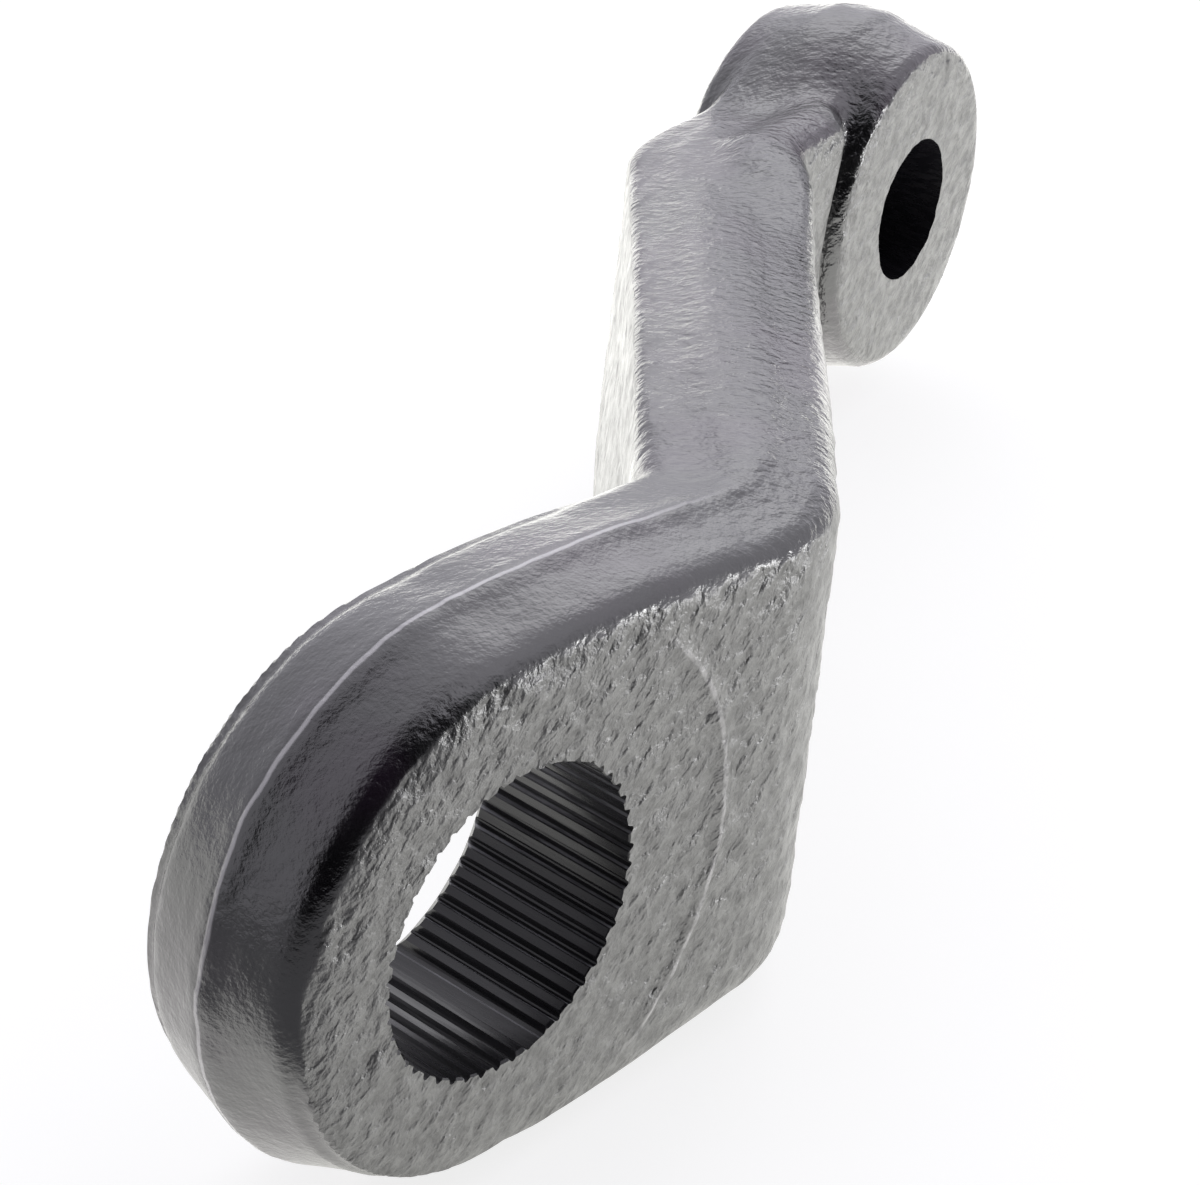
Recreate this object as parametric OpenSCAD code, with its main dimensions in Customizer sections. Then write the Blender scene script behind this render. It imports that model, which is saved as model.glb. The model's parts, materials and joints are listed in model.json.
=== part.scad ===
// Pitman arm: one steel forging with a serrated eye at one end and a tapered stud hole at the other.
// X runs from the eye to the stud hole, Y is the eye's bore axis, Z is across the arm.
// The origin is the middle of the bore, in the plane where the two forging dies met.

/* [Eye] */
// Radius inside the tips of the serrations
spline_tip_radius = 15.7; // [13.5:0.1:17]
// Pitches round the serrated bore
spline_pitches = 48; // [36:1:52]
// Depth of a serration from tip to root
spline_depth = 0.8; // [0.5:0.05:1.1]
// Share of a pitch that is left as the flat tip of a tooth
spline_land_share = 0.54; // [0.35:0.01:0.6]
// Direction of the wide space where one tooth is left out
key_angle = -74; // [-90:1:-60]
// Chamfer at the near end of the bore, measured from the tips
near_chamfer = 0.3; // [0.2:0.05:0.6]
// Chamfer at the far end of the bore, measured from the tips
far_chamfer = 1.1; // [0.5:0.1:2]
// Radius of the eye at the parting line
eye_radius = 29.1; // [27:0.1:33]
// Height of the thin raised ring on the near face
witness_height = 0.45; // [0.2:0.05:0.8]
// Radius of the thin raised ring on the near face
witness_radius = 29.4; // [28.5:0.1:30]

/* [Arm] */
// Thickness of the eye and the flat plate
plate_thickness = 20; // [17:0.1:22]
// Depth of the sloping part from the parting surface to its near face
strut_near_depth = 10.3; // [9.5:0.1:12]
// Depth of the sloping part to its far face, just above the first bend
strut_far_depth_low = 11.2; // [9.5:0.1:12]
// Depth of the sloping part to its far face, at its upper end
strut_far_depth_high = 9.8; // [9.5:0.1:12]
// Half width of the plate at the first bend
plate_half_width = 27.5; // [25:0.1:29]
// Half width of the arm just before the boss
neck_half_width = 17; // [16:0.1:21]
// Size of the fillet where the arm runs into the boss
neck_fillet = 7; // [4:0.5:10]
// Distance from the bore to the corner of the first bend
first_bend_at = 40.8; // [38:0.1:48]
// Slope of the middle part against the eye
strut_angle = 42; // [36:0.1:46]
// Length of the middle part between the two bend corners
strut_length = 121; // [105:0.1:135]
// Slope of the boss against the eye
boss_angle = 11.6; // [8:0.1:18]
// Radius of the first bend at mid thickness
first_bend_radius = 15; // [14:0.5:22]
// Radius of the second bend at mid thickness
second_bend_radius = 26; // [20:0.5:32]

/* [Boss] */
// Distance from the second bend corner to the stud hole
boss_at = 44; // [40:0.1:50]
// Radius of the boss at the parting line
boss_radius = 27.4; // [25.5:0.1:30]
// Radius of the boss where its walls reach the flat faces
boss_face_radius = 24.6; // [22.5:0.1:25]
// Thickness of the boss between its flat faces
boss_thickness = 27.4; // [25:0.1:30]
// Radius along the edges of the boss faces
boss_edge = 2.6; // [1:0.1:4]
// Radius of the stud hole at the near face
stud_radius = 10.6; // [9:0.1:12]
// Taper of the stud hole, full angle
stud_taper = 7.2; // [4:0.1:10]

/* [Forging] */
// Draft angle of the side walls towards the near face
near_draft = 11; // [4:0.5:13]
// Draft angle of the side walls towards the far face
far_draft = 4; // [2:0.5:10]
// Radius along the edges of the near face
near_edge_radius = 3.2; // [2.5:0.1:5]
// Radius along the edges of the far face
far_edge_radius = 3.2; // [2.5:0.1:5]
// Half width of the trimmed flash on the eye
flash_half_eye = 0.6; // [0.4:0.1:1]
// Half width of the trimmed flash on the strut and boss
flash_half_strut = 3.4; // [2:0.1:4]
// Height of the trimmed flash above the walls
flash_height = 0.5; // [0.2:0.05:0.8]

/* [Hidden] */
$fn = 96;
tan1 = first_bend_radius * tan(strut_angle / 2);
turn2 = strut_angle - boss_angle;
tan2 = second_bend_radius * tan(turn2 / 2);
len1 = first_bend_radius * strut_angle * PI / 180;
len2 = second_bend_radius * turn2 * PI / 180;
// Lengths along the middle line where each stretch of the path ends
s1 = first_bend_at - tan1;
s2 = s1 + len1;
s3 = s2 + strut_length - tan1 - tan2;
s4 = s3 + len2;
hole_s = s4 + boss_at - tan2;
corner2 = [first_bend_at + strut_length * cos(strut_angle), strut_length * sin(strut_angle)];
hole = corner2 + boss_at * [cos(boss_angle), sin(boss_angle)];
half_eye = plate_thickness / 2;
pad_half = boss_thickness / 2;
blend_radius = boss_radius - 2.8;
pitch = 360 / spline_pitches;
root_radius = spline_tip_radius + spline_depth;
big = 60;

// Steps from 0 to 1 and smooth blends between two values
function mix(a, b, t) = a + (b - a) * t;
function clamp01(t) = min(1, max(0, t));
function ease(t) = let(c = clamp01(t)) c * c * (3 - 2 * c);
function soft_max(a, b, k) = (a + b + sqrt((a - b) * (a - b) + k * k)) / 2;

// The path of the middle line: heading, then the point at a length s along it
function heading(s) =
    s < s1 ? 0 :
    s < s2 ? strut_angle * (s - s1) / len1 :
    s < s3 ? strut_angle :
    s < s4 ? strut_angle - turn2 * (s - s3) / len2 : boss_angle;
function arc1(s) = first_bend_radius * [sin(heading(s)), 1 - cos(heading(s))];
function arc2(s) = second_bend_radius * [sin(strut_angle) - sin(heading(s)), cos(heading(s)) - cos(strut_angle)];
function start2() = corner2 - tan2 * [cos(strut_angle), sin(strut_angle)];
function path(s) =
    s < s1 ? [s, 0] :
    s < s2 ? [s1, 0] + arc1(s) :
    s < s3 ? [s1, 0] + arc1(s2) + (s - s2) * [cos(strut_angle), sin(strut_angle)] :
    s < s4 ? start2() + arc2(s) :
    hole + (s - hole_s) * [cos(boss_angle), sin(boss_angle)];

// Half width of the arm at a length s: eye circle, tapering body, boss circle
function body_width(s) =
    s < s1 ? mix(eye_radius, plate_half_width, clamp01(s / s1) * clamp01(s / s1)) + 0.3 * sin(180 * clamp01(s / s1)) :
    mix(plate_half_width, neck_half_width, ease((s - s1) / (hole_s - boss_radius * 0.9 - s1)));
function boss_width(s) = sqrt(max(0, blend_radius * blend_radius - (s - hole_s) * (s - hole_s)));
function half_width(s) =
    s <= 0 ? sqrt(max(0, eye_radius * eye_radius - s * s)) :
    s >= hole_s ? boss_width(s) :
    mix(soft_max(body_width(s), boss_width(s), neck_fillet * clamp01((hole_s - s) / 10)), boss_width(s), ease(1 - (hole_s - s) / 6));
function half_thick(s, side) =
    side < 0 ? mix(half_eye, strut_near_depth, clamp01((s - s1) / (s3 - s1))) :
    s < s2 ? mix(half_eye, strut_far_depth_low, ease((s - s1) / (s2 - s1))) :
    mix(strut_far_depth_low, strut_far_depth_high, clamp01((s - s2) / (s3 - s2)));
function flash_half(s) = mix(flash_half_eye, flash_half_strut, ease((s - s1) / (s2 - s1 + 12)));

// Stations along the arm, closer together round the two ends and in the bends
eye_steps = 22;
boss_steps = 22;
neck_steps = 16;
stations = concat(
    [for (i = [0:eye_steps - 1]) -eye_radius * cos(90 * i / eye_steps)],
    [for (i = [0:5]) s1 * i / 6],
    [for (i = [0:7]) mix(s1, s2, i / 8)],
    [for (i = [0:11]) mix(s2, s3, i / 12)],
    [for (i = [0:5]) mix(s3, s4, i / 6)],
    [for (i = [0:neck_steps - 1]) mix(s4, hole_s, i / neck_steps)],
    [for (i = [0:boss_steps]) hole_s + blend_radius * sin(90 * i / boss_steps)]);
count = len(stations);
// The closed outline in unrolled form: up one side, then back down the other
outline = concat(
    [for (i = [0:count - 1]) [stations[i], half_width(stations[i])]],
    [for (i = [count - 2:-1:1]) [stations[i], -half_width(stations[i])]]);
ring = len(outline);
function unit(v) = v / norm(v);
function inward(i) =
    let(d = unit(outline[(i + 1) % ring] - outline[(i + ring - 1) % ring])) [d[1], -d[0]];

// Layers through the thickness: flat face, rounded edge, drafted wall, flash, and the same again
corner_steps = 4;
layers = 2 * (corner_steps + 3);
function corner_angle(k) = 90 - 90 * k / corner_steps;
function side_of(j) = j < layers / 2 ? -1 : 1;
function step_of(j) = j < layers / 2 ? j : layers - 1 - j;
function draft_of(side) = side < 0 ? near_draft : far_draft;
function edge_of(side) = side < 0 ? near_edge_radius : far_edge_radius;
function depth_at(k, s, side) =
    k <= corner_steps ? half_thick(s, side) - edge_of(side) * (1 - sin(corner_angle(k))) :
    k == corner_steps + 1 ? flash_half(s) + 0.7 : flash_half(s);
function inset_at(k, s, side) =
    (max(0, depth_at(k, s, side) - flash_half(s)) * tan(draft_of(side)))
    + (k <= corner_steps ? edge_of(side) * (1 - cos(corner_angle(k))) : 0)
    - (k == corner_steps + 2 ? flash_height : 0);
function place(s, n, z) =
    let(a = heading(s), p = path(s)) [p[0] - n * sin(a), p[1] + n * cos(a), z];
function skin(j, i) =
    let(
        k = step_of(j),
        side = side_of(j),
        s0 = outline[i][0],
        q = outline[i] + inward(i) * inset_at(k, s0, side))
    place(q[0], side * depth_at(k, s0, side), q[1]);
skin_points = [for (j = [0:layers - 1]) for (i = [0:ring - 1]) skin(j, i)];
function wall(j) = [for (i = [0:ring - 1])
    let(a = j * ring + i, b = j * ring + (i + 1) % ring)
    each [[a, b + ring, b], [a, a + ring, b + ring]]];
function mirror_of(i) = (ring - i) % ring;
function cap(base, flip) = [for (i = [0:count - 2])
    let(a = base + i, b = base + i + 1, c = base + mirror_of(i + 1), d = base + mirror_of(i))
    each concat(
        b == c ? [] : [flip ? [a, c, b] : [a, b, c]],
        a == d ? [] : [flip ? [a, d, c] : [a, c, d]])];
skin_faces = concat(
    [for (j = [0:layers - 2]) each wall(j)],
    cap(0, false),
    cap((layers - 1) * ring, true));

// The forged body from the eye, through both bends, to the boss
module forged_body() {
    color("DimGray")
        polyhedron(points = skin_points, faces = skin_faces, convexity = 6);
}

// A frame on the stud hole, its Z pointing out of the near face
module at_boss() {
    translate([hole[0], hole[1], 0])
        rotate([0, 0, boss_angle])
            rotate([90, 0, 0])
                children();
}

// Half of the boss profile, from the flat face round its edge and down the drafted wall
function boss_profile(side) = [for (k = [0:5])
    [boss_face_radius - boss_edge * (1 - sin(90 * k / 5)), side * (pad_half - boss_edge * (1 - cos(90 * k / 5)))]];

// The boss: a drafted disc that stands proud of the arm on both faces, with the flash round it
module boss() {
    wall = boss_radius - 0.12 * flash_half_strut - flash_height;
    color("DimGray")
        at_boss()
            rotate_extrude()
                polygon(concat(
                    [[0, pad_half]],
                    boss_profile(1),
                    [
                        [wall, flash_half_strut + 0.7],
                        [wall + flash_height, flash_half_strut],
                        [wall + flash_height, -flash_half_strut],
                        [wall, -flash_half_strut - 0.7]],
                    [for (k = [5:-1:0]) boss_profile(-1)[k]],
                    [[0, -pad_half]]));
}

// The tapered hole for the ball stud, wide at the near face
module stud_hole() {
    slope = tan(stud_taper / 2);
    at_boss()
        translate([0, 0, -pad_half - 2])
            cylinder(
                h = 2 * pad_half + 4,
                r1 = stud_radius - slope * (2 * pad_half + 2),
                r2 = stud_radius + slope * 2);
}

// The thin raised ring that the die left where the eye meets the plate
module witness_ring() {
    color("DimGray")
        rotate([90, 0, 0])
            rotate([0, 0, -50])
                rotate_extrude(angle = 98)
                    translate([witness_radius, half_eye])
                        polygon([
                            [-1.5, -0.8],
                            [1.5, -0.8],
                            [0.35, witness_height],
                            [-0.35, witness_height]]);
}

// One serration space: two straight flanks and a flat root, begun inside the tip circle
function polar(r, a) = r * [cos(a), sin(a)];
function flank(mid, side) =
    let(
        tip = polar(spline_tip_radius, mid + side * pitch * (1 - spline_land_share) / 2),
        root = polar(root_radius, mid + side * pitch * 0.06))
    [tip + 0.35 * (tip - root), root];
function space(i) =
    let(mid = key_angle + pitch * (i + 0.5), near = flank(mid, -1), far = flank(mid, 1))
    concat(i == 0 ? [near[1]] : near, i == spline_pitches - 1 ? [far[1]] : [far[1], far[0]]);
// The first and last spaces stay joined at the root, which leaves one tooth out
spaces = [for (i = [0:spline_pitches - 1]) each space(i)];

// The serrated bore: round tip circle, serrations, and a chamfer at each end
module serrated_bore() {
    rotate([90, 0, 0]) {
        translate([0, 0, -big])
            cylinder(h = 2 * big, r = spline_tip_radius);
        translate([0, 0, -big])
            linear_extrude(2 * big)
                polygon(spaces);
        for (end = [[0, far_chamfer], [180, near_chamfer]])
            rotate([end[0], 0, 0])
                translate([0, 0, -half_eye - 1])
                    cylinder(
                        h = end[1] + 2,
                        r1 = spline_tip_radius + end[1] + 1,
                        r2 = spline_tip_radius - 1);
    }
}

// The whole forging
module pitman_arm() {
    difference() {
        union() {
            forged_body();
            boss();
            witness_ring();
        }
        serrated_bore();
        stud_hole();
    }
}

pitman_arm();
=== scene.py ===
# %% [markdown]
# # A forged steering arm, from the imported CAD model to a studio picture
#
# The arm carries the turn of a steering gear to a ball stud. It is one drop forging: a hot bar is
# pressed between two dies, the squeezed-out rim is sheared off, the serrated bore is broached, the
# stud hole is reamed to a taper, and the whole arm is dipped in black paint.
# The CAD model holds the sizes. This lesson adds what the dies, the shears and the paint leave behind.

import json
import math

import bpy
from mathutils import Matrix, Vector

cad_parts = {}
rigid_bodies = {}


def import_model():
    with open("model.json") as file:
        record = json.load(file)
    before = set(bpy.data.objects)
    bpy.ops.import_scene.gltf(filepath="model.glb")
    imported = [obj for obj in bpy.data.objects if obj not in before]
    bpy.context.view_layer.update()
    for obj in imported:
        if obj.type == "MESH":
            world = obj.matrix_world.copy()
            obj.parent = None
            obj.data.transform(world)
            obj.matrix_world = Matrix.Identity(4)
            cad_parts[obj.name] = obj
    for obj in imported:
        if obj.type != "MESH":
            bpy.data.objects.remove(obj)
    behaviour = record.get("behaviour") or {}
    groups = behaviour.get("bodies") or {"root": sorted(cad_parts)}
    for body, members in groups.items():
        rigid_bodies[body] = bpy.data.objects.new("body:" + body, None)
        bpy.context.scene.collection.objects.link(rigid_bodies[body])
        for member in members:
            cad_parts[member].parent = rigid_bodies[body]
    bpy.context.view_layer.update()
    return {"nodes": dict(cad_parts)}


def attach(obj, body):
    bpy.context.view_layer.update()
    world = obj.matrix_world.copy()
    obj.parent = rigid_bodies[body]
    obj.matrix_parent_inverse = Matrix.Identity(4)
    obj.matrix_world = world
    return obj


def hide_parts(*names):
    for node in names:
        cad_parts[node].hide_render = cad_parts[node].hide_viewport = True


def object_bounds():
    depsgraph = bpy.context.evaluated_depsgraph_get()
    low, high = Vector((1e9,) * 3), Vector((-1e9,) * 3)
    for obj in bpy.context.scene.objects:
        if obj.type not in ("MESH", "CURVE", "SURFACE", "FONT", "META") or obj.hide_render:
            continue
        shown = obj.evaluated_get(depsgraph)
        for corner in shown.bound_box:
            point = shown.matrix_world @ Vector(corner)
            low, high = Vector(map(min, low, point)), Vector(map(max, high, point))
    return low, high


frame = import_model()
cad_node = frame["nodes"]["pitman_arm"]

# %% State the sizes
MM = 0.001
# Sizes that the CAD source states, in mm and degrees, used again here for the cutters and the markings
TIP_RADIUS = 15.7
ROOT_RADIUS = 16.5
PITCHES = 48
KEY_ANGLE = -74.0
HALF_EYE = 10.0
NEAR_CHAMFER = 0.3
FAR_CHAMFER = 1.1
WITNESS_RADIUS = 29.4
FIRST_BEND = 40.8
STRUT_ANGLE = 42.0
BOSS_ANGLE = 11.6
HOLE = Vector((173.822, 89.812, 0.0))
HALF_BOSS = 13.7
STUD_RADIUS = 10.6
STUD_SLOPE = math.tan(math.radians(3.6))
BOSS_AXIS = Vector((-math.sin(math.radians(BOSS_ANGLE)), math.cos(math.radians(BOSS_ANGLE)), 0))
# Stretches of x, in mm, over which the arm turns from one slope to the next
FIRST_TURN = (32.0, 52.0)
SECOND_TURN = (122.0, 148.0)
# Size of one face of the even skin, in mm, and the sharpest edge that is still shaded smooth
SKIN_FACE = 0.72
SMOOTH_ANGLE = 38
print("bore radius", TIP_RADIUS, "mm, stud hole radius", STUD_RADIUS, "mm")


def only(obj):
    """Leaves obj alone selected and active, in object mode."""
    if bpy.context.object and bpy.context.object.mode != "OBJECT":
        bpy.ops.object.mode_set(mode="OBJECT")
    bpy.ops.object.select_all(action="DESELECT")
    obj.select_set(True)
    bpy.context.view_layer.objects.active = obj


def apply_all(obj):
    """Applies every modifier of obj, first to last."""
    only(obj)
    for m in list(obj.modifiers):
        bpy.ops.object.modifier_apply(modifier=m.name)


def turned_to(axis):
    """The rotation that turns +Z to axis, as angles."""
    return axis.to_track_quat("Z", "Y").to_euler()


def box_in_mm(obj):
    """The lengths of the sides of obj's box."""
    return [round(1000 * d, 1) for d in obj.dimensions]


# %% [markdown]
# ## The blank
#
# A forging has no hole when it leaves the dies: the bore and the stud hole are cut later. So the
# blank is a copy of the CAD mesh with both holes plugged. A voxel remesh then gives it an even skin
# of small faces, which can be dented. Subdividing the CAD triangles would also work, but they are long
# and thin, and dents would follow their edges.

# %% Copy the CAD mesh and plug its holes
only(cad_node)
bpy.ops.object.duplicate()
blank = bpy.context.object
blank.name = "forged_arm"
only(blank)
bpy.ops.object.parent_clear(type="CLEAR_KEEP_TRANSFORM")
bpy.ops.object.transform_apply(location=True, rotation=True, scale=True)
bpy.ops.object.mode_set(mode="EDIT")
bpy.ops.mesh.select_all(action="SELECT")
bpy.ops.mesh.remove_doubles(threshold=0.00001)
bpy.ops.mesh.normals_make_consistent(inside=False)
bpy.ops.object.mode_set(mode="OBJECT")
blank.data.materials.clear()


def plug(centre, axis, radius, half):
    """A closed cylinder that fills one hole, flush with both faces."""
    bpy.ops.object.select_all(action="DESELECT")
    bpy.ops.mesh.primitive_cylinder_add(
        vertices=96, radius=radius * MM, depth=2 * half * MM, location=centre * MM, rotation=turned_to(axis)
    )
    return bpy.context.object


plugs = [
    plug(Vector((0, 0, 0)), Vector((0, 1, 0)), ROOT_RADIUS + 2.0, HALF_EYE),
    plug(HOLE, BOSS_AXIS, STUD_RADIUS + 1.5, HALF_BOSS),
]
only(blank)
for p in plugs:
    p.select_set(True)
bpy.ops.object.join()
print("blank with", len(plugs), "plugs, box in mm:", box_in_mm(blank))

# %% Give it an even skin
remesh = blank.modifiers.new("even_skin", "REMESH")
remesh.mode = "VOXEL"
remesh.voxel_size = SKIN_FACE * MM
remesh.adaptivity = 0.0
apply_all(blank)
die_wear = blank.modifiers.new("die_wear", "SMOOTH")
die_wear.factor = 0.5
die_wear.iterations = 2
apply_all(blank)
print("blank:", len(blank.data.polygons), "faces")

# %% [markdown]
# ## Die corrections
#
# The CAD solid keeps one draft and one thickness along each stretch. On the real arm the strut grows
# thicker on its near side towards the boss, the neck is wider there, the strut's far side bulges a
# little, and the eye's walls lean in more. These are small moves, so they are made as weighted pushes
# on the even skin: each vertex gets a weight from its place, and a displacement moves the group. Where
# the neck meets the boss, and along the plate's top near edge, a weighted smoothing then rounds
# the skin. A lattice would also do, but its cage doesn't follow the bends.


# %% Find a place on the arm
def clamped(value, low, high):
    """0 at low, 1 at high and a straight line between."""
    return min(1.0, max(0.0, (value - low) / (high - low)))


def ease(value, low, high):
    """0 at low, 1 at high and a smooth step between."""
    c = clamped(value, low, high)
    return c * c * (3 - 2 * c)


def slope_at(x):
    """Slope of the arm in radians at x, in mm: flat eye, sloping strut, nearly flat boss."""
    first = clamped(x, *FIRST_TURN)
    second = clamped(x, *SECOND_TURN)
    return math.radians(STRUT_ANGLE * first - (STRUT_ANGLE - BOSS_ANGLE) * second)


def parting_at(x, y):
    """Distance in mm from the parting surface, negative on the near side."""

    def off(angle, px, py):
        return (y - py) * math.cos(math.radians(angle)) - (x - px) * math.sin(math.radians(angle))

    return max(min(y, off(STRUT_ANGLE, FIRST_BEND, 0)), off(BOSS_ANGLE, HOLE.x, HOLE.y))


def squareness(v):
    """1 where a vertex lies in a pressed face, 0 on a side wall."""
    a = slope_at(v.co.x / MM)
    return abs(v.normal.y * math.cos(a) - v.normal.x * math.sin(a))


def corner(v, from_wall=(0.15, 0.6), to_face=(0.75, 0.98)):
    """1 on the rounded edge between a side wall and a pressed face, 0 on both of them."""
    return ease(squareness(v), *from_wall) * (1 - ease(squareness(v), *to_face))


def from_stud(x, y, z):
    """Distance in mm from the axis of the stud hole."""
    away = Vector((x, y, z)) - HOLE
    return (away - away.dot(BOSS_AXIS) * BOSS_AXIS).length


print("slope in degrees at x 0, 90 and 170:", [round(math.degrees(slope_at(x)), 1) for x in (0, 90, 170)])


# %% Move and round the skin by weight
def group(name, weight):
    """A vertex group with weight(x, y, z, v), from 0 to 1, at each vertex."""
    made = blank.vertex_groups.new(name=name)
    for v in blank.data.vertices:
        w = weight(v.co.x / MM, v.co.y / MM, v.co.z / MM, v)
        if w > 0.001:
            made.add([v.index], w, "REPLACE")


def push(name, weight, *moves):
    """Moves the skin by each (direction, mm) of moves, scaled by the weight."""
    group(name, weight)
    for direction, depth in moves:
        move = blank.modifiers.new(name, "DISPLACE")
        move.direction = direction
        move.vertex_group = name
        move.mid_level = 0.0
        move.strength = depth * MM
    apply_all(blank)


def soften(name, weight, rounds):
    """Rounds the skin where the weight is above 0."""
    group(name, weight)
    relax = blank.modifiers.new(name, "SMOOTH")
    relax.vertex_group = name
    relax.factor = 0.5
    relax.iterations = rounds
    apply_all(blank)


def strut_near(x, y, z, v):
    along = clamped(x, 54, 126) * (1 - 0.3 * ease(x, 128, 142)) * (1 - ease(x, 150, 162))
    return along * ease(-parting_at(x, y), 1.0, 9.0) * ease(from_stud(x, y, z), 25.5, 29.5)


def neck_top(x, y, z, v):
    along = ease(x, 110, 134) * (1 - ease(x, 150, 164)) * ease(from_stud(x, y, z), 25.0, 29.0)
    return along * ease(z, 5, 16) * ease(-parting_at(x, y), 1.0, 8.0)


def neck_bottom(x, y, z, v):
    return neck_top(x, y, -z, v)


def strut_far(x, y, z, v):
    along = ease(x, 40, 58) * (1 - ease(x, 100, 128))
    return along * ease(parting_at(x, y), 3.0, 9.0) * (1 - ease(z, -6, 14))


def eye_far(x, y, z, v):
    wall = 1 - ease(squareness(v), 0.7, 0.95)
    return (1 - ease(x, 18, 36)) * ease(parting_at(x, y), 0.8, 8.0) * wall


def eye_near_low(x, y, z, v):
    wall = 1 - ease(squareness(v), 0.7, 0.95)
    low = (1 - ease(x, 0, 22)) * (1 - ease(z, -12, 4))
    return low * ease(-parting_at(x, y), 0.8, 7.0) * wall


def far_edge(x, y, z, v):
    return corner(v) * ease(parting_at(x, y), 3.0, 6.0) * ease(x, 40, 52) * (1 - ease(x, 120, 132))


def near_edge(x, y, z, v):
    return corner(v) * ease(-parting_at(x, y), 3.0, 6.0) * (1 - ease(x, 120, 140))


def neck_blend(x, y, z, v):
    return ease(x, 126, 136) * (1 - ease(x, 164, 172)) * ease(from_stud(x, y, z), 24.8, 26.2)


def top_edge(x, y, z, v):
    edge = corner(v, from_wall=(0.1, 0.4), to_face=(0.92, 0.995))
    return edge * ease(-parting_at(x, y), 2.5, 5.0) * ease(z, -4, 4) * (1 - ease(x, 60, 90))


push("strut_near", strut_near, ("X", 2.6), ("Y", -3.4))
push("neck_top", neck_top, ("Z", 3.5))
push("neck_bottom", neck_bottom, ("Z", -3.5))
push("strut_far", strut_far, ("X", -0.8), ("Y", 0.9))
push("eye_far", eye_far, ("NORMAL", -0.9))
push("eye_near_low", eye_near_low, ("NORMAL", -0.9))
push("far_edge", far_edge, ("NORMAL", 0.6))
push("near_edge", near_edge, ("NORMAL", 0.15))
soften("neck_blend", neck_blend, 14)
soften("top_edge", top_edge, 10)
print("die shape, box in mm:", box_in_mm(blank))

# %% [markdown]
# ## Pressed faces and trimmed flash
#
# The dies press the two broad faces, and scale marks those most. The walls between them slide out of
# the dies and stay smoother. So the vertices that lie in a pressed face go into a group, found from
# their normals, which the next step dents. Where the flash was trimmed, the step in the CAD solid is
# worn down here to a low swell, and the fine line on it is left to the material.


# %% Group the faces and wear down the flash
def pressed_face(x, y, z, v):
    return ease(squareness(v), 0.90, 0.99)


def trimmed_flash(x, y, z, v):
    return (1 - ease(abs(parting_at(x, y)), 4.5, 6.0)) * (squareness(v) < 0.6)


group("pressed", pressed_face)
soften("trimmed", trimmed_flash, 14)
print("groups:", [g.name for g in blank.vertex_groups])

# %% [markdown]
# ## The forged skin
#
# Scale is pressed into the hot steel and falls off, which leaves shallow dents two to four millimetres
# wide. Broad waves come from worn dies and from the bend. Each size of dent is one displacement along
# the normals, so the outline is uneven too, as on the real part. The finest grain is left to
# the material, because it would need far more faces.

# %% Dent the skin
# Name, width and depth in mm, kind of noise, and the group that it dents
for name, size, depth, kind, where in (
    ("die_waves", 16.0, 0.45, "SOFT_NOISE", ""),
    ("wall_grain", 2.6, 0.10, "SOFT_NOISE", ""),
    ("scale_dents", 4.0, 0.40, "HARD_NOISE", "pressed"),
    ("scale_pits", 2.1, 0.42, "SOFT_NOISE", "pressed"),
):
    noise = bpy.data.textures.new(name, "CLOUDS")
    noise.noise_type = kind
    noise.noise_basis = "ORIGINAL_PERLIN"
    noise.noise_scale = size * MM
    noise.noise_depth = 1
    dents = blank.modifiers.new(name, "DISPLACE")
    dents.texture = noise
    dents.texture_coords = "LOCAL"
    dents.vertex_group = where
    dents.strength = depth * MM
    dents.mid_level = 0.5
    apply_all(blank)
print("skin dented, box in mm:", box_in_mm(blank))

# %% [markdown]
# ## The broached bore and the tapered hole
#
# A broach cuts the serrations in one pull, so they are clean and straight although the faces round
# them are rough. The cutter is a fine cylinder whose vertices are pushed out in groups to the
# root radius, a little less at the near end than at the far end. One tooth is left out, which fixes
# the arm's position on the shaft. Cutting after denting keeps the bore crisp and gives its rim the
# uneven edge that it has on the real arm.

# %% Make the broach
PER_PITCH = 12
BROACH_LENGTH = 40
NEAR_ROOT = ROOT_RADIUS - 0.35
FAR_ROOT = ROOT_RADIUS + 0.25
bpy.ops.object.select_all(action="DESELECT")
bpy.ops.mesh.primitive_cylinder_add(
    vertices=PITCHES * PER_PITCH, radius=TIP_RADIUS * MM, depth=BROACH_LENGTH * MM, rotation=(math.pi / 2, 0, 0)
)
broach = bpy.context.object
broach.name = "broach"
bpy.ops.object.transform_apply(location=True, rotation=True, scale=True)


def share_of_pitch(v):
    """Where a vertex lies in its pitch, 0 at the middle of a tooth, and whether that tooth is missing."""
    turn = (math.degrees(math.atan2(v.co.z, v.co.x)) - KEY_ANGLE) / (360 / PITCHES)
    tooth = round(turn)
    return abs(turn - tooth), tooth % PITCHES == 0


def push_out(share, wanted, near):
    """Scales the chosen vertices at one end of the broach out from its axis, by a share of the tooth depth."""
    only(broach)
    bpy.ops.object.mode_set(mode="EDIT")
    bpy.ops.mesh.select_mode(type="VERT")
    bpy.ops.mesh.select_all(action="DESELECT")
    bpy.ops.object.mode_set(mode="OBJECT")
    for v in broach.data.vertices:
        v.select = (v.co.y < 0) == near and wanted(*share_of_pitch(v))
    bpy.ops.object.mode_set(mode="EDIT")
    root = NEAR_ROOT if near else FAR_ROOT
    grow = 1 + share * (root / TIP_RADIUS - 1)
    bpy.ops.transform.resize(value=(grow, 1, grow), center_override=(0, 0, 0))
    bpy.ops.object.mode_set(mode="OBJECT")


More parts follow.
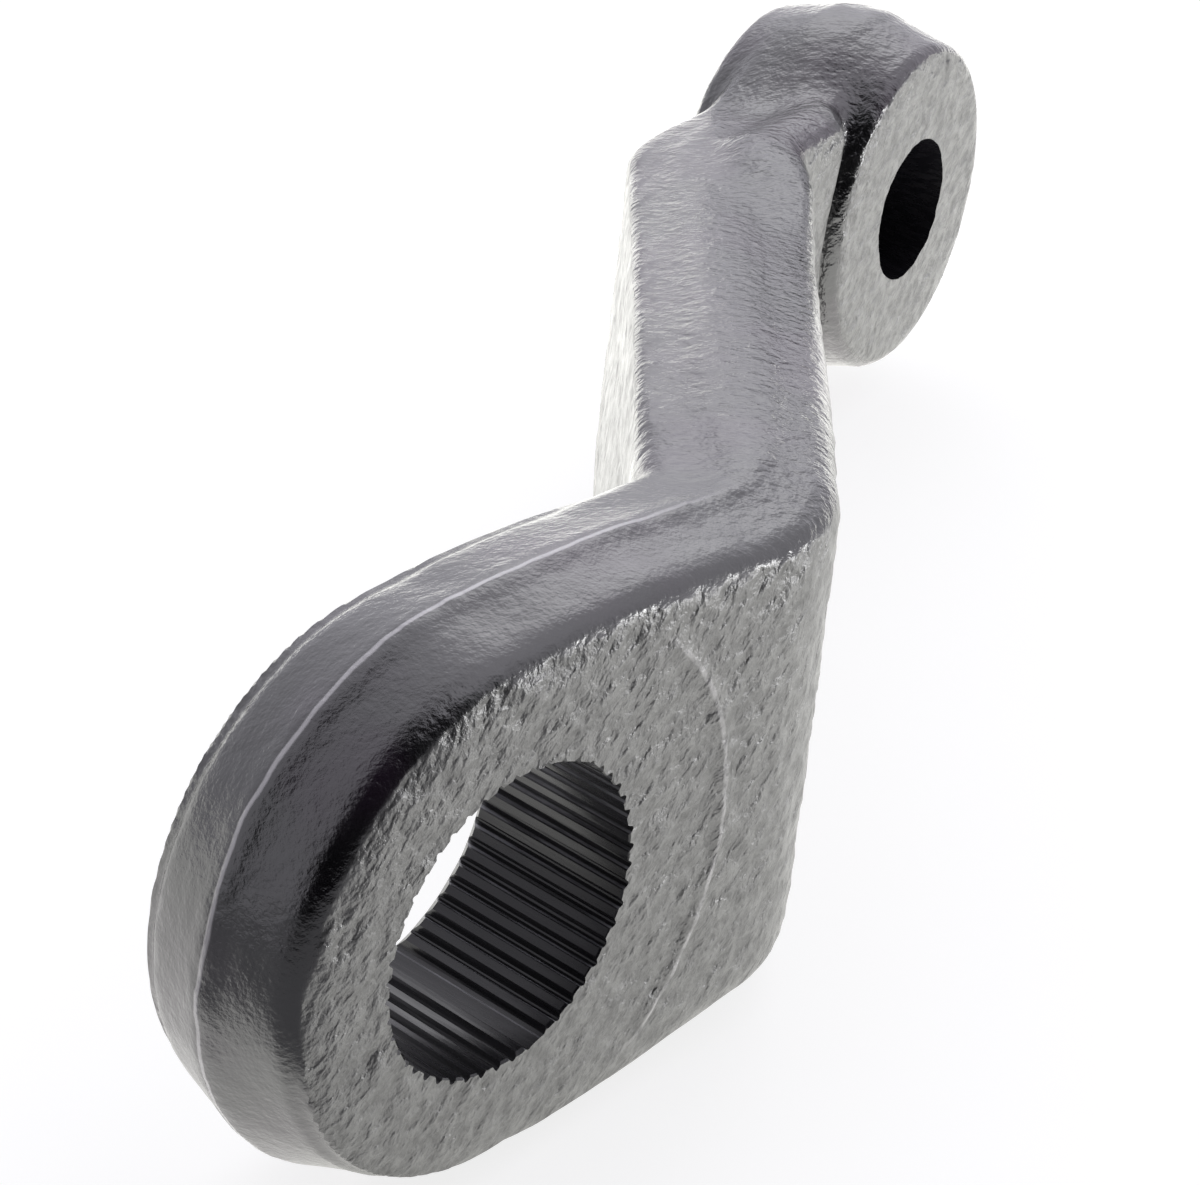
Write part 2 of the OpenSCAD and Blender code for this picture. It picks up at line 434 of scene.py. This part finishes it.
for near in (True, False):
    push_out(0.35, lambda s, key: not key and 0.27 < s < 0.35, near)
    push_out(0.75, lambda s, key: not key and 0.35 < s < 0.43, near)
    push_out(1.0, lambda s, key: key or s > 0.43, near)
print("broach:", len(broach.data.vertices), "vertices")

# %% Make the reamer and the chamfer tools
RUN_OUT = 4
bpy.ops.object.select_all(action="DESELECT")
bpy.ops.mesh.primitive_cone_add(
    vertices=128,
    radius1=(STUD_RADIUS + STUD_SLOPE * RUN_OUT) * MM,
    radius2=(STUD_RADIUS - STUD_SLOPE * (2 * HALF_BOSS + RUN_OUT)) * MM,
    depth=(2 * HALF_BOSS + 2 * RUN_OUT) * MM,
    location=HOLE * MM,
    rotation=turned_to(BOSS_AXIS),
)
reamer = bpy.context.object
reamer.name = "reamer"
chamfers = []
for side, size in ((-1, NEAR_CHAMFER), (1, FAR_CHAMFER)):
    # The cone of 45 degrees starts 1 mm inside the tips and ends 2 mm above the face
    length = size + 3
    bpy.ops.object.select_all(action="DESELECT")
    bpy.ops.mesh.primitive_cone_add(
        vertices=192,
        radius1=(TIP_RADIUS - 1) * MM,
        radius2=(TIP_RADIUS + size + 2) * MM,
        depth=length * MM,
        location=Vector((0, side * (HALF_EYE + 2 - length / 2), 0)) * MM,
        rotation=turned_to(Vector((0, side, 0))),
    )
    chamfers.append(bpy.context.object)
    bpy.context.object.name = "chamfer_tool"
print("reamer and", len(chamfers), "chamfer tools")

# %% [markdown]
# ## Paint
#
# The arm is dipped in semi-gloss black paint. Its colour is nearly black, and what shows as
# grey is mostly the studio mirrored in a rough film. So the colour stays dark, and the roughness, the
# grain and the film's reflection do the work. A plain grey paint would be simpler, but it would look
# flat and miss the black streak on the eye's edge. The high spots of the pressed faces are painted a
# little lighter and the pits darker, partly as rubbed wear and partly as painted highlight and shade
# that bring out the lumps. The flash and witness lines and one edge a pitch in the bore are painted
# bright, as painted highlights. The cut walls of the bore carry the same paint on a smoother surface,
# which is why they look blacker and glossier.


# %% Short names for shader nodes
class Nodes:
    """Adds and links shader nodes in one empty tree."""

    def __init__(self, tree):
        self.tree = tree
        self.tree.nodes.clear()

    def add(self, kind, inputs=None, **settings):
        n = self.tree.nodes.new("ShaderNode" + kind)
        for k, v in settings.items():
            setattr(n, k, v)
        for k, v in (inputs or {}).items():
            if isinstance(v, bpy.types.NodeSocket):
                self.tree.links.new(v, n.inputs[k])
            else:
                n.inputs[k].default_value = v
        return n

    def maths(self, op, a, b=0.0):
        return self.add("Math", {0: a, 1: b}, operation=op).outputs[0]

    def plus(self, a, b):
        return self.maths("ADD", a, b)

    def minus(self, a, b):
        return self.maths("SUBTRACT", a, b)

    def times(self, a, b):
        return self.maths("MULTIPLY", a, b)

    def mix(self, share, a, b):
        """A value between a and b."""
        return self.add("Mix", {0: share, 2: a, 3: b}).outputs[0]

    def blend(self, share, a, b):
        """A colour between a and b."""
        a, b = ((*c, 1) if isinstance(c, tuple) else c for c in (a, b))
        return self.add("Mix", {0: share, 6: a, 7: b}, data_type="RGBA").outputs[2]

    def mapped(self, at, **how):
        return self.add("Mapping", {"Vector": at, **how}).outputs[0]

    def noise(self, at, scale, detail=3.0, rough=0.55):
        inputs = {"Vector": at, "Scale": scale, "Detail": detail, "Roughness": rough}
        return self.add("TexNoise", inputs).outputs[0]

    def about(self, noise):
        """A noise moved to lie about 0, so that mixing two of them leaves no step."""
        return self.minus(noise, 0.5)

    def ramp(self, x, low, high, to_low=0.0, to_high=1.0):
        """A smooth step from to_low to to_high."""
        inputs = {0: x, 1: low, 2: high, 3: to_low, 4: to_high}
        return self.add("MapRange", inputs, clamp=True, interpolation_type="SMOOTHSTEP").outputs[0]


def new_material(name):
    """A material with an empty tree, and the short names for it."""
    made = bpy.data.materials.new(name)
    made.use_nodes = True
    return made, Nodes(made.node_tree)


# %% Paint of the forged skin
def arm_places(m, mm, normal):
    """The place x, y, z in mm, the distance from the parting surface, and 1 on a pressed face, 0 on a wall."""
    x, y, z = m.add("SeparateXYZ", {0: mm}).outputs

    def off(angle, px, py):
        a = math.radians(angle)
        return m.plus(m.times(m.minus(x, px), -math.sin(a)), m.times(m.minus(y, py), math.cos(a)))

    strut = off(STRUT_ANGLE, FIRST_BEND, 0.0)
    boss = off(BOSS_ANGLE, HOLE.x, HOLE.y)
    parting = m.maths("MAXIMUM", m.maths("MINIMUM", y, strut), boss)
    # The slope of the arm, then how well the normal agrees with the pressed faces there
    rise = m.ramp(x, *FIRST_TURN, 0.0, math.radians(STRUT_ANGLE))
    slope = m.minus(rise, m.ramp(x, *SECOND_TURN, 0.0, math.radians(STRUT_ANGLE - BOSS_ANGLE)))
    nx, ny, _ = m.add("SeparateXYZ", {0: normal}).outputs
    square = m.minus(m.times(ny, m.maths("COSINE", slope)), m.times(nx, m.maths("SINE", slope)))
    return x, y, z, parting, m.ramp(m.maths("ABSOLUTE", square), 0.80, 0.97)


def forged_paint():
    made, m = new_material("forged_black_paint")
    coords = m.add("TexCoord").outputs
    mm = m.mapped(coords["Object"], Scale=(1000, 1000, 1000))
    x, y, z, parting, pressed = arm_places(m, mm, coords["Normal"])
    # Tone of the walls: a cold purple cast in places, as a thin film over dark scale has
    cloud = m.ramp(m.noise(mm, 0.045, 2.0), 0.42, 0.62)
    wall_tone = m.blend(cloud, (0.012, 0.012, 0.013), (0.030, 0.017, 0.032))
    # Grain of the pressed faces: lumps drawn out along one slant, with a finer peel on top
    slant = m.mapped(m.mapped(mm, Rotation=(0, math.radians(45), 0)), Scale=(0.72, 1, 1))
    lumps = m.noise(slant, 0.70, 2.0, 0.5)
    swells = m.noise(slant, 0.30, 2.0, 0.5)
    peel = m.noise(mm, 2.0, 3.0, 0.6)
    on_face = m.plus(m.times(m.about(lumps), 0.85), m.times(m.about(peel), 0.24))
    on_face = m.plus(on_face, m.times(m.about(swells), 1.35))
    on_face = m.times(on_face, m.ramp(parting, -4.0, 4.0, 1.0, 0.45))
    # Tone of the pressed faces: high spots lighter and pits darker, partly rubbed wear and partly painted
    # highlight and painted shade that bring out the lumps
    wear_and_relief_shade = m.ramp(m.plus(lumps, m.times(m.about(peel), 0.35)), 0.36, 0.66)
    face_tone = m.blend(wear_and_relief_shade, (0.018, 0.018, 0.018), (0.125, 0.125, 0.122))
    tone = m.blend(pressed, wall_tone, face_tone)
    # Grain of the walls: fine, with wrinkles that run across the strut where the steel flowed
    along = m.mapped(mm, Rotation=(0, 0, -math.radians(STRUT_ANGLE)))
    across = m.mapped(along, Scale=(1.0, 0.6, 0.8))
    wrinkle = m.times(m.about(m.noise(across, 0.9, 3.0, 0.6)), m.ramp(x, 25.0, 55.0, 0.08, 0.34))
    lumpiness = m.ramp(x, 25.0, 55.0, 0.14, m.ramp(x, 140.0, 165.0, 0.6, 0.35))
    on_wall = m.plus(m.times(m.about(peel), 0.10), wrinkle)
    on_wall = m.plus(on_wall, m.times(m.about(lumps), lumpiness))
    height = m.mix(m.times(pressed, pressed), on_wall, on_face)
    # Flash: one thin sheared line round the eye that parts into the two edges of a strip on the strut
    wander = m.times(m.about(m.noise(mm, 0.09, 2.0)), 1.8)
    wander = m.times(wander, m.ramp(x, 20.0, 60.0, 1.0, 0.2))
    half_strip = m.ramp(x, 40.0, 90.0, 0.0, 3.0)
    past_edge = m.minus(m.maths("ABSOLUTE", m.plus(parting, wander)), half_strip)
    line = m.ramp(m.maths("ABSOLUTE", past_edge), 0.10, 0.36, 1.0, 0.0)
    line = m.times(m.times(line, m.ramp(x, 14.0, 42.0, 0.9, 0.03)), m.minus(1.0, pressed))
    shear_marks = m.noise(m.mapped(across, Scale=(3.0, 0.5, 1.0)), 1.1, 2.0)
    inside = m.times(m.ramp(past_edge, -0.4, 0.0, 1.0, 0.0), m.ramp(x, 40.0, 80.0, 0.0, 0.2))
    height = m.mix(inside, height, m.times(m.about(shear_marks), 0.4))
    # Witness line: the thin ring that the die left on the near face, broken by the lumps
    r = m.maths("SQRT", m.plus(m.times(x, x), m.times(z, z)))
    off_ring = m.maths("ABSOLUTE", m.plus(m.minus(r, WITNESS_RADIUS), m.times(wander, 0.35)))
    ring = m.times(m.ramp(off_ring, 0.12, 0.42, 1.0, 0.0), m.ramp(x, 16.0, 22.0))
    ring = m.times(ring, m.ramp(y, -9.5, -8.5, 1.0, 0.0))
    ring = m.times(ring, m.ramp(lumps, 0.3, 0.6, 0.15, 0.5))
    # Both lines are raised a little, and their near-white colour is a painted highlight, standing in for the
    # light that their thin top facets catch
    ridge_with_painted_highlight = m.maths("MAXIMUM", line, ring)
    height = m.plus(height, m.times(ridge_with_painted_highlight, 0.05))
    tone = m.blend(m.times(ridge_with_painted_highlight, 0.85), tone, (0.75, 0.73, 0.75))
    bump = m.add("Bump", {"Strength": 0.9, "Distance": 0.75 * MM, "Height": height}).outputs[0]
    patches = m.ramp(m.noise(mm, 0.25, 3.0), 0.3, 0.7, -0.05, 0.05)
    rough = m.plus(patches, m.mix(pressed, 0.19, 0.33))
    paint = m.add("BsdfPrincipled", {"Base Color": tone, "Roughness": rough, "IOR": 2.2, "Normal": bump})
    m.add("OutputMaterial", {"Surface": paint.outputs[0]})
    return made


skin_paint = forged_paint()
blank.data.materials.append(skin_paint)
print("material:", skin_paint.name)


# %% Paint of the cut walls
def cut_paint():
    made, m = new_material("cut_black_paint")
    place = m.add("TexCoord").outputs["Object"]
    # Fine marks that the tools left along the holes
    marks = m.noise(m.mapped(place, Scale=(1000, 90, 1000)), 1.6, 3.0)
    bump = m.add("Bump", {"Strength": 0.25, "Distance": 0.1 * MM, "Height": marks}).outputs[0]
    rough = m.ramp(marks, 0.3, 0.7, 0.2, 0.32)
    tone = m.blend(marks, (0.004, 0.004, 0.005), (0.012, 0.011, 0.015))
    # One painted highlight a pitch: a bright line on the edge where a flat tip breaks into the next space, on
    # the flank that faces the light
    x, _, z = m.add("SeparateXYZ", {0: m.mapped(place, Scale=(1000, 1000, 1000))}).outputs
    turn = m.times(m.maths("ARCTAN2", z, x), PITCHES / (2 * math.pi))
    phase = m.maths("FRACT", m.plus(turn, 100 - KEY_ANGLE * PITCHES / 360))
    edge = m.ramp(m.maths("ABSOLUTE", m.minus(phase, 0.28)), 0.02, 0.06, 1.0, 0.0)
    edge = m.times(edge, m.ramp(x, 18.0, 20.0, m.ramp(marks, 0.35, 0.65, 0.25, 0.8), 0.0))
    tone = m.blend(edge, tone, (0.40, 0.40, 0.43))
    paint = m.add("BsdfPrincipled", {"Base Color": tone, "Roughness": rough, "IOR": 1.6, "Normal": bump})
    m.add("OutputMaterial", {"Surface": paint.outputs[0]})
    return made


tools = (broach, reamer, *chamfers)
bore_paint = cut_paint()
for tool in tools:
    tool.data.materials.append(bore_paint)
print("material:", bore_paint.name, "on", len(tools), "tools")

# %% [markdown]
# ## Cutting
#
# Each tool is taken away from the blank with an exact boolean. The cut walls keep the tool's material,
# so the paint changes exactly at the rim. Exact cuts can leave a few faces without area, which are
# removed at the end.

# %% Cut the holes
for tool in tools:
    cut = blank.modifiers.new("cut_" + tool.name, "BOOLEAN")
    cut.operation = "DIFFERENCE"
    cut.solver = "EXACT"
    cut.material_mode = "TRANSFER"
    cut.object = tool
    apply_all(blank)
    bpy.data.objects.remove(tool)
print("holes cut:", len(blank.data.polygons), "faces")

# %% Clean and shade the arm
only(blank)
bpy.ops.object.mode_set(mode="EDIT")
bpy.ops.mesh.select_all(action="SELECT")
bpy.ops.mesh.remove_doubles(threshold=0.000001)
bpy.ops.mesh.dissolve_degenerate(threshold=0.000001)
bpy.ops.mesh.delete_loose()
bpy.ops.object.mode_set(mode="OBJECT")
print("mesh needed repair:", blank.data.validate())
bpy.ops.object.shade_smooth_by_angle(angle=math.radians(SMOOTH_ANGLE))
triangles = sum(len(p.vertices) - 2 for p in blank.data.polygons)
print("finished arm:", triangles, "triangles")

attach(blank, "root")
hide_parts("pitman_arm")

# %% [markdown]
# ## Studio
#
# The picture is a product shot on white. The camera sees a plain white floor and white surroundings.
# What the paint mirrors is shaped, as a photographer does with white and black boards: the floor is
# brighter to the right and at the back, its left front corner is black, and the surroundings are
# bright behind, to the right and above, but dark in front and to the left. The black corner makes the
# dark streak on the eye's near edge. An even white tent would be simpler, but it would wash out the
# edges. Two weak soft lamps add sparkle to the grain.

# %% Floor
lo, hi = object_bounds()
bpy.ops.object.select_all(action="DESELECT")
bpy.ops.mesh.primitive_plane_add(size=6.0, location=(0.08, 0.04, lo.z))
floor = bpy.context.object
floor.name = "floor"
floor_paint, f = new_material("pale_floor")
matt = f.add("BsdfPrincipled", {"Base Color": (0.93, 0.93, 0.93, 1), "Roughness": 0.8})
floor_x, floor_y, _ = f.add("SeparateXYZ", {0: f.add("TexCoord").outputs["Object"]}).outputs
to_right = f.ramp(floor_x, -0.20, 0.06, 1.55, 2.3)
black_corner = f.ramp(f.plus(floor_x, floor_y), -0.195, -0.160, 0.02, 1.0)
to_back = f.ramp(floor_y, 0.0, 0.10, 1.0, f.ramp(floor_x, -0.06, 0.02, 1.0, 1.9))
mirrored = f.times(f.times(to_right, black_corner), to_back)
direct = f.add("LightPath").outputs["Is Camera Ray"]
tint = f.blend(direct, (1, 0.995, 0.95), (1, 1, 1))
glow = f.add("Emission", {"Color": tint, "Strength": f.mix(direct, mirrored, 1.4)})
lit = f.add("MixShader", {0: 0.55, 1: matt.outputs[0], 2: glow.outputs[0]})
f.add("OutputMaterial", {"Surface": lit.outputs[0]})
floor.data.materials.append(floor_paint)
print("floor at", round(1000 * lo.z, 1), "mm")

# %% Surroundings
world = bpy.data.worlds.new("studio")
bpy.context.scene.world = world
world.use_nodes = True
w = Nodes(world.node_tree)
sky = w.add("TexCoord").outputs["Generated"]


def lobe(direction, low, high, to_low, to_high):
    """A smooth patch of the surroundings round one direction."""
    inputs = {0: sky, 1: Vector(direction).normalized()}
    along = w.add("VectorMath", inputs, operation="DOT_PRODUCT").outputs["Value"]
    return w.ramp(along, low, high, to_low, to_high)


back_light = w.times(lobe((0, 1, 0), -0.25, 0.2, 0.0, 1.0), lobe((1, 0, 0), -0.6, 0.7, 0.55, 1.1))
right_light = lobe((0.85, -0.2, 0.45), 0.55, 0.95, 0.0, 0.75)
top_light = lobe((0.45, -0.25, 0.85), 0.80, 0.97, 0.0, 0.9)
level = w.maths("MAXIMUM", w.maths("MAXIMUM", back_light, right_light), top_light)
seen = w.add("LightPath").outputs["Is Camera Ray"]
sky_tint = w.blend(seen, (1, 0.985, 1.07), (1, 1, 1))
backdrop = w.add("Background", {"Color": sky_tint, "Strength": w.mix(seen, level, 1.0)})
w.add("OutputWorld", {"Surface": backdrop.outputs[0]})
print("surroundings:", world.name)


# %% Lamps
def soft_light(name, place, aim, size, power):
    """A square lamp at place that shines towards aim."""
    bpy.ops.object.select_all(action="DESELECT")
    bpy.ops.object.light_add(type="AREA", location=place)
    lamp = bpy.context.object
    lamp.name = name
    lamp.data.size = size
    lamp.data.energy = power
    lamp.rotation_euler = (Vector(aim) - Vector(place)).to_track_quat("-Z", "Y").to_euler()
    return lamp


target = (lo + hi) / 2
key = soft_light("key", target + Vector((0.62, 0.45, 0.62)), target, 0.55, 0.8)
side = soft_light("side", target + Vector((0.60, -0.62, 0.02)), target, 0.30, 2.6)
print("lamps:", key.name, key.data.energy, "W,", side.name, side.data.energy, "W")

# %% [markdown]
# ## Camera
#
# The camera stands where the photograph was taken from. Its place, its three axes and its focal
# length were fitted to the outline of the arm in the photograph.

# %% Camera
FOCAL_PIXELS = 3006.3
PICTURE_WIDTH = 1200
FILM_WIDTH = 36.0
right = Vector((0.66496, -0.74230, 0.08258))
down = Vector((-0.30525, -0.37102, -0.87702))
ahead = Vector((0.68165, 0.55798, -0.47330))
eye = Vector((-0.171064, -0.156223, 0.155462))
bpy.ops.object.select_all(action="DESELECT")
bpy.ops.object.camera_add(location=eye)
cam = bpy.context.object
cam.rotation_euler = Matrix((right, -down, -ahead)).transposed().to_euler()
cam.data.sensor_width = FILM_WIDTH
cam.data.lens = FILM_WIDTH * FOCAL_PIXELS / PICTURE_WIDTH
cam.data.clip_start = 0.01
cam.data.clip_end = 50.0
bpy.context.scene.camera = cam
bpy.context.scene.view_settings.view_transform = "Standard"
print("camera at", [round(c, 3) for c in eye], "lens", round(cam.data.lens, 1))
